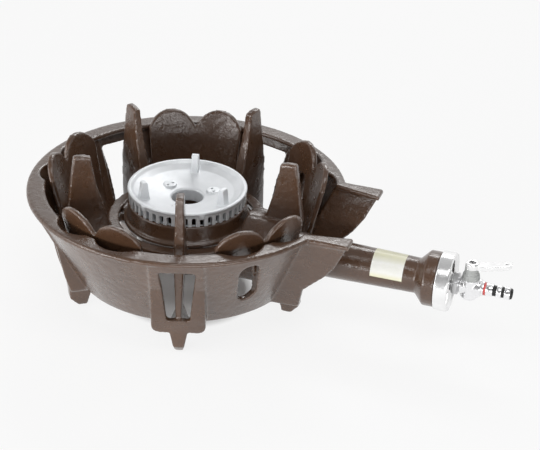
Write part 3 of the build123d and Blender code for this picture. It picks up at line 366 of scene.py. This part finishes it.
# Name, azimuth from the photograph's view to the right, elevation, distance, width, height, watts
LAMPS = (
    ("key_light", 15.0, 62.0, 1.6, 1.1, 0.5, 7.2),
    ("left_light", -75.0, 28.0, 1.8, 0.9, 0.9, 7.2),
    ("front_light", 15.0, 4.0, 1.8, 1.8, 0.25, 11.2),
    ("low_left_light", -48.0, 5.0, 1.8, 1.2, 0.28, 14.4),
    ("back_light", 165.0, 42.0, 1.8, 1.2, 0.3, 8.8),
)


def make_floor():
    """Pale floor that runs out of sight and keeps the stove's shadow.

    The eye and gloss see most of it at full white, except under the burner, where the real
    shade shows.
    """
    half = FLOOR_HALF
    corners = [(-half, -half, 0), (half, -half, 0), (half, half, 0), (-half, half, 0)]
    mesh = bpy.data.meshes.new("floor")
    mesh.from_pydata(corners, [], [(0, 1, 2, 3)])
    floor = bpy.data.objects.new("floor", mesh)
    bpy.context.scene.collection.objects.link(floor)
    material, tree, shader = new_material("floor_paint")
    shader.inputs["Base Color"].default_value = FLOOR_PAINT
    shader.inputs["Roughness"].default_value = 0.9
    shader.inputs["Specular IOR Level"].default_value = 0.1
    glow = tree.nodes.new("ShaderNodeEmission")
    glow.inputs["Strength"].default_value = 1.0
    path = tree.nodes.new("ShaderNodeLightPath")
    seen = combine(tree, "MAXIMUM", path.outputs["Is Camera Ray"], path.outputs["Is Glossy Ray"])
    geometry = tree.nodes.new("ShaderNodeNewGeometry")
    away = against_vector(tree, "DISTANCE", geometry.outputs["Position"], (0.0, BURNER_Y, 0.0))
    clear = spread(tree, away.outputs["Value"], 0.0, FLOOR_GLOW, *GLOW_FROM)
    mix = tree.nodes.new("ShaderNodeMixShader")
    tree.links.new(combine(tree, "MULTIPLY", seen, clear), mix.inputs["Fac"])
    tree.links.new(shader.outputs["BSDF"], mix.inputs[1])
    tree.links.new(glow.outputs["Emission"], mix.inputs[2])
    output = [n for n in tree.nodes if n.type == "OUTPUT_MATERIAL"][0]
    tree.links.new(mix.outputs["Shader"], output.inputs["Surface"])
    dress(floor, material)


def make_world():
    """White surroundings for the eye, a room for gloss to mirror, and a weaker even fill.

    The room is fixed to the frame: white at eye level on the far side of the photograph's view,
    dimmer overhead and on its near side.
    """
    world = bpy.data.worlds.new("studio")
    bpy.context.scene.world = world
    world.use_nodes = True
    tree = world.node_tree
    tree.nodes.clear()
    output = tree.nodes.new("ShaderNodeOutputWorld")
    background = tree.nodes.new("ShaderNodeBackground")
    background.inputs["Color"].default_value = (1.0, 1.0, 1.0, 1.0)
    path = tree.nodes.new("ShaderNodeLightPath")
    direction = tree.nodes.new("ShaderNodeTexCoord").outputs["Generated"]
    split = tree.nodes.new("ShaderNodeSeparateXYZ")
    tree.links.new(direction, split.inputs["Vector"])
    ceiling = spread(tree, split.outputs["Z"], 1.0, CEILING_DIM, *CEILING_FROM)
    towards = against_vector(tree, "DOT_PRODUCT", direction, BACKDROP)
    backdrop = spread(tree, towards.outputs["Value"], ROOM_DIM, 1.0, *ROOM_FROM)
    room = combine(tree, "MULTIPLY", ceiling, backdrop)
    shown = combine(tree, "MAXIMUM", room, path.outputs["Is Camera Ray"])
    seen = path.outputs["Is Camera Ray"]
    for ray in ("Is Glossy Ray", "Is Transmission Ray"):
        seen = combine(tree, "MAXIMUM", seen, path.outputs[ray])
    strength = tree.nodes.new("ShaderNodeMapRange")
    strength.inputs["To Min"].default_value = WORLD_FILL
    tree.links.new(seen, strength.inputs["Value"])
    tree.links.new(shown, strength.inputs["To Max"])
    tree.links.new(strength.outputs["Result"], background.inputs["Strength"])
    tree.links.new(background.outputs["Background"], output.inputs["Surface"])


def add_softbox(name, azimuth, elevation, distance, wide, high, watts):
    """Rectangular lamp that faces the stove."""
    turn = CAMERA_AZIMUTH + radians(azimuth)
    lift = radians(elevation)
    away = Vector((sin(turn) * cos(lift), -cos(turn) * cos(lift), sin(lift)))
    data = bpy.data.lights.new(name, "AREA")
    data.shape = "RECTANGLE"
    data.size = wide
    data.size_y = high
    data.energy = watts
    lamp = bpy.data.objects.new(name, data)
    lamp.location = LAMPS_FACE + distance * away
    lamp.rotation_euler = away.to_track_quat("Z", "Y").to_euler()
    bpy.context.scene.collection.objects.link(lamp)


def make_camera():
    """The photograph's view: its place, direction, roll and lens."""
    ce, se = cos(CAMERA_ELEVATION), sin(CAMERA_ELEVATION)
    back = Vector((sin(CAMERA_AZIMUTH) * ce, -cos(CAMERA_AZIMUTH) * ce, se))
    right = Vector((cos(CAMERA_AZIMUTH), sin(CAMERA_AZIMUTH), 0.0))
    up = back.cross(right)
    cr, sr = cos(CAMERA_ROLL), sin(CAMERA_ROLL)
    rolled_right = cr * right + sr * up
    rolled_up = cr * up - sr * right
    data = bpy.data.cameras.new("camera")
    data.sensor_width = SENSOR_MM
    data.lens = FOCAL_PX / PHOTO_WIDE * SENSOR_MM
    data.clip_end = CAMERA_SEES_TO
    camera = bpy.data.objects.new("camera", data)
    axes = Matrix((rolled_right, rolled_up, back)).transposed().to_4x4()
    camera.matrix_world = Matrix.Translation(CAMERA_AT) @ axes
    bpy.context.scene.collection.objects.link(camera)
    bpy.context.scene.camera = camera


# ---------------------------------------------------------------- the stove

def dress_stand(stand_enamel, burner_enamel):
    """The one-piece stand and the burner's casting, each fused from its nodes."""
    stand = cast_copy("stand_casting", STAND_NODES, voxel=1.25 * MM, rounds=5,
                      most_triangles=195000, grain=0.12 * MM)
    dress(stand, stand_enamel)
    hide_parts(*STAND_NODES)
    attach(stand, "stand")
    burner = cast_copy("burner_casting", BURNER_NODES, voxel=1.0 * MM, rounds=4,
                       most_triangles=120000, grain=0.10 * MM)
    dress(burner, burner_enamel)
    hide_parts(*BURNER_NODES)
    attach(burner, "stand")


def dress_plated(cap, damper, cock):
    """The lift-off cap, the damper, the cock and its lever, each with soft edges."""
    piece = cast_copy("burner_cap_casting", ["burner_cap"], voxel=0.5 * MM, rounds=5,
                      most_triangles=190000, swell=0.08 * MM)
    dress(piece, cap)
    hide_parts("burner_cap")
    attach(piece, "burner_cap")
    piece = cast_copy("damper_dish", ["air_damper", "damper_collar"], voxel=0.45 * MM, rounds=2,
                      most_triangles=120000, swell=0.02 * MM)
    dress(piece, damper)
    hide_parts("air_damper", "damper_collar")
    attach(piece, "air_damper")
    piece = cast_copy("cock_casting", ["cock_body"], voxel=0.35 * MM, rounds=4,
                      most_triangles=80000, swell=0.02 * MM)
    dress(piece, cock)
    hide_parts("cock_body")
    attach(piece, "stand")
    piece = cast_copy("lever_handle", ["cock_lever"], voxel=0.3 * MM, rounds=4,
                      most_triangles=60000, swell=0.02 * MM)
    dress(piece, damper)
    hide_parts("cock_lever")
    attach(piece, "cock_lever")


# Material and width of the soft edge, in mm, of each node that keeps its own shape
SMALL_FINISHES = {
    "hose_nipple": ("nipple", 0.25),
    "packing_nut": ("grey", 0.3),
    "lock_nut": ("steel", 0.3),
    "lever_screw": ("dark", 0.12),
    "cock_plug": ("brass", 0.2),
    "injector": ("brass", 0.15),
    "stem_seal": ("rubber", 0.2),
    "damper_spring_washer": ("steel", 0.15),
    "plug_spring_washer": ("steel", 0.12),
    "hose_depth_mark": ("red", 0.1),
    "tube_label": ("label", 0.0),
    "burner_bolt_1": ("steel", 0.4),
    "burner_bolt_2": ("steel", 0.4),
    "burner_bolt_3": ("steel", 0.4),
}


def dress_small(materials):
    """The turned parts, fasteners, band and label."""
    for node, (finish, edge) in SMALL_FINISHES.items():
        dress(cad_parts[node], materials[finish])
        if edge:
            soft_edges(node, edge * MM)
        else:
            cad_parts[node].data.shade_smooth()


materials = {
    "stand": enamel("stand_enamel", coarse=0.5 * MM),
    "burner": enamel("burner_enamel", coarse=0.4 * MM),
    "cap": plain("cap_plating", (0.84, 0.86, 0.88), (0.79, 0.81, 0.83),
                 roughness=0.42, metallic=0.40, grain=0.03 * MM, scale=300.0),
    "damper": plating("bright_plating", (0.95, 0.95, 0.95),
                      roughness=0.16, grain=0.02 * MM, metallic=0.75),
    "cock": plating("cock_plating", (0.92, 0.92, 0.93),
                    roughness=0.16, grain=0.02 * MM, metallic=0.85),
    "grey": plain("nut_grey", (0.44, 0.45, 0.44), (0.36, 0.37, 0.36),
                  roughness=0.5, metallic=0.3, grain=0.05 * MM),
    "steel": plain("zinc_steel", (0.62, 0.62, 0.62), (0.52, 0.52, 0.53),
                   roughness=0.3, metallic=1.0, grain=0.03 * MM),
    "dark": plain("dark_steel", (0.20, 0.20, 0.20), (0.14, 0.14, 0.14),
                  roughness=0.35, metallic=0.8, grain=0.02 * MM),
    "brass": plain("turned_brass", (0.72, 0.50, 0.22), (0.62, 0.42, 0.18),
                   roughness=0.25, metallic=1.0, grain=0.02 * MM),
    "rubber": plain("black_rubber", (0.03, 0.03, 0.03), (0.05, 0.05, 0.05),
                    roughness=0.6, metallic=0.0, grain=0.05 * MM),
    "red": plain("red_band", (0.66, 0.10, 0.09), (0.56, 0.08, 0.08),
                 roughness=0.3, metallic=0.0, grain=0.02 * MM),
    "nipple": plating_with_groove_shade(),
    "label": label_film(),
}

dress_stand(materials["stand"], materials["burner"])
dress_plated(materials["cap"], materials["damper"], materials["cock"])
dress_small(materials)

make_floor()
make_world()
for lamp in LAMPS:
    add_softbox(*lamp)
make_camera()
bpy.context.scene.view_settings.view_transform = "Standard"
